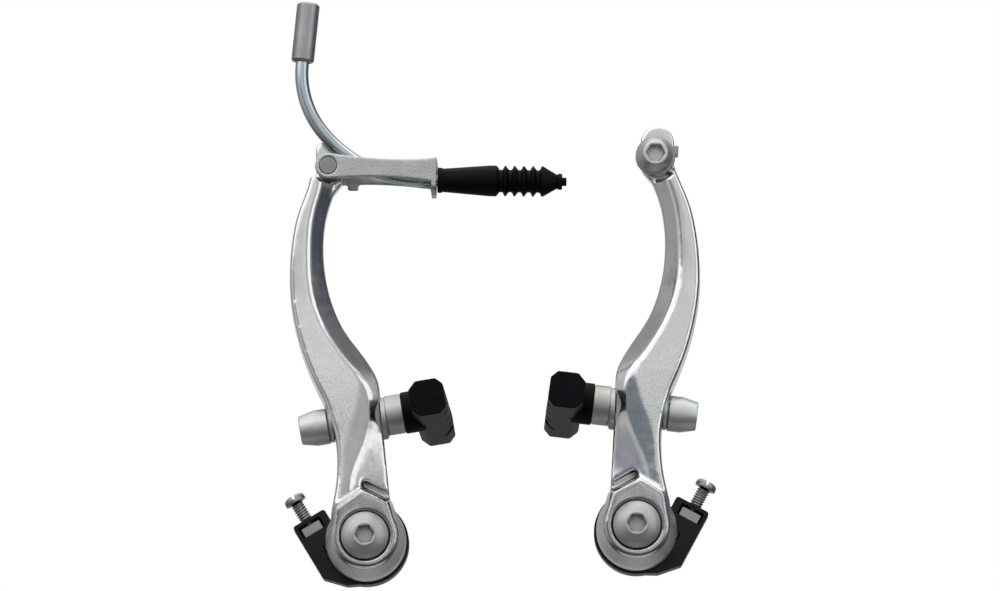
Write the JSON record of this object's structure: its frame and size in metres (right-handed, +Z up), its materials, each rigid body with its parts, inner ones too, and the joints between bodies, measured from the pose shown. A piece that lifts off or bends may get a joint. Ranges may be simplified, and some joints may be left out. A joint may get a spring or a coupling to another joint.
{
  "type": "linear-pull bicycle rim brake",
  "caption": "Linear-pull rim brake: sprung alloy arms with rubber pads on alignment washers, bent cable lead pipe with pivoting link and bellows boot, and a bolted cable anchor.",
  "frame": {"origin": "midway between the two pivot axes, in the plane of the pad posts", "axes": "+X from the left arm to the right arm in the front view, +Y back towards the frame bosses, +Z up along the arms to the cable"},
  "size_m": [0.128, 0.0603, 0.1747],
  "materials": {
    "arm_alloy": "satin",
    "link_alloy": "cast satin",
    "washer_alloy": "matte",
    "steel": "turned",
    "zinc_steel": "zinc plated",
    "spring_steel": "wire drawn",
    "plated_steel": "bright plated",
    "black_plastic": "satin",
    "liner_plastic": "smooth",
    "pad_rubber": "moulded matte",
    "boot_rubber": "moulded satin"
  },
  "bodies": {
    "frame_side": {"left_pivot_bush": "steel", "left_pivot_bolt": "zinc_steel", "left_return_spring": "spring_steel", "right_pivot_bush": "steel", "right_pivot_bolt": "zinc_steel", "right_return_spring": "spring_steel"},
    "left_arm_body": {"left_arm": "arm_alloy", "left_spring_holder": "black_plastic", "left_tension_nut": "zinc_steel", "left_brake_pad": "pad_rubber", "left_pad_post": "zinc_steel", "left_inner_dome_washer": "washer_alloy", "left_inner_cup_spacer": "washer_alloy", "left_outer_dome_washer": "zinc_steel", "left_outer_cup_washer": "zinc_steel", "left_pad_nut": "zinc_steel"},
    "right_arm_body": {"right_arm": "arm_alloy", "right_spring_holder": "black_plastic", "right_tension_nut": "zinc_steel", "right_brake_pad": "pad_rubber", "right_pad_post": "zinc_steel", "right_inner_dome_washer": "washer_alloy", "right_inner_cup_spacer": "washer_alloy", "right_outer_dome_washer": "zinc_steel", "right_outer_cup_washer": "zinc_steel", "right_pad_nut": "zinc_steel", "anchor_bolt": "zinc_steel", "clamp_washer": "zinc_steel"},
    "link_body": {"link": "link_alloy", "link_pin": "steel", "noodle": "plated_steel", "noodle_liner": "liner_plastic", "noodle_ferrule": "washer_alloy", "boot": "boot_rubber"},
    "left_screw_body": {"left_tension_screw": "zinc_steel"},
    "right_screw_body": {"right_tension_screw": "zinc_steel"}
  },
  "joints": [
    {"name": "left_arm_pivot", "type": "hinge", "parent": "frame_side", "child": "left_arm_body", "pos_m": [-0.04, 0, 0], "axis": [0, 1, 0], "range_deg": [-18, 5], "stiffness_Nm_per_rad": 1.5, "deforming": ["left_return_spring"]},
    {"name": "right_arm_pivot", "type": "hinge", "parent": "frame_side", "child": "right_arm_body", "pos_m": [0.04, 0, 0], "axis": [0, -1, 0], "range_deg": [-18, 5], "stiffness_Nm_per_rad": 1.5, "deforming": ["right_return_spring"]},
    {"name": "link_pivot", "type": "hinge", "parent": "left_arm_body", "child": "link_body", "pos_m": [-0.04701, 0, 0.11148], "axis": [0, 1, 0], "range_deg": [-60, 45]},
    {"name": "left_tension_travel", "type": "slide", "parent": "left_arm_body", "child": "left_screw_body", "axis": [-0.4817, 0, 0.8763], "range_m": [0, 0.004]},
    {"name": "right_tension_travel", "type": "slide", "parent": "right_arm_body", "child": "right_screw_body", "axis": [0.5075, 0, 0.8616], "range_m": [0, 0.004]}
  ]
}
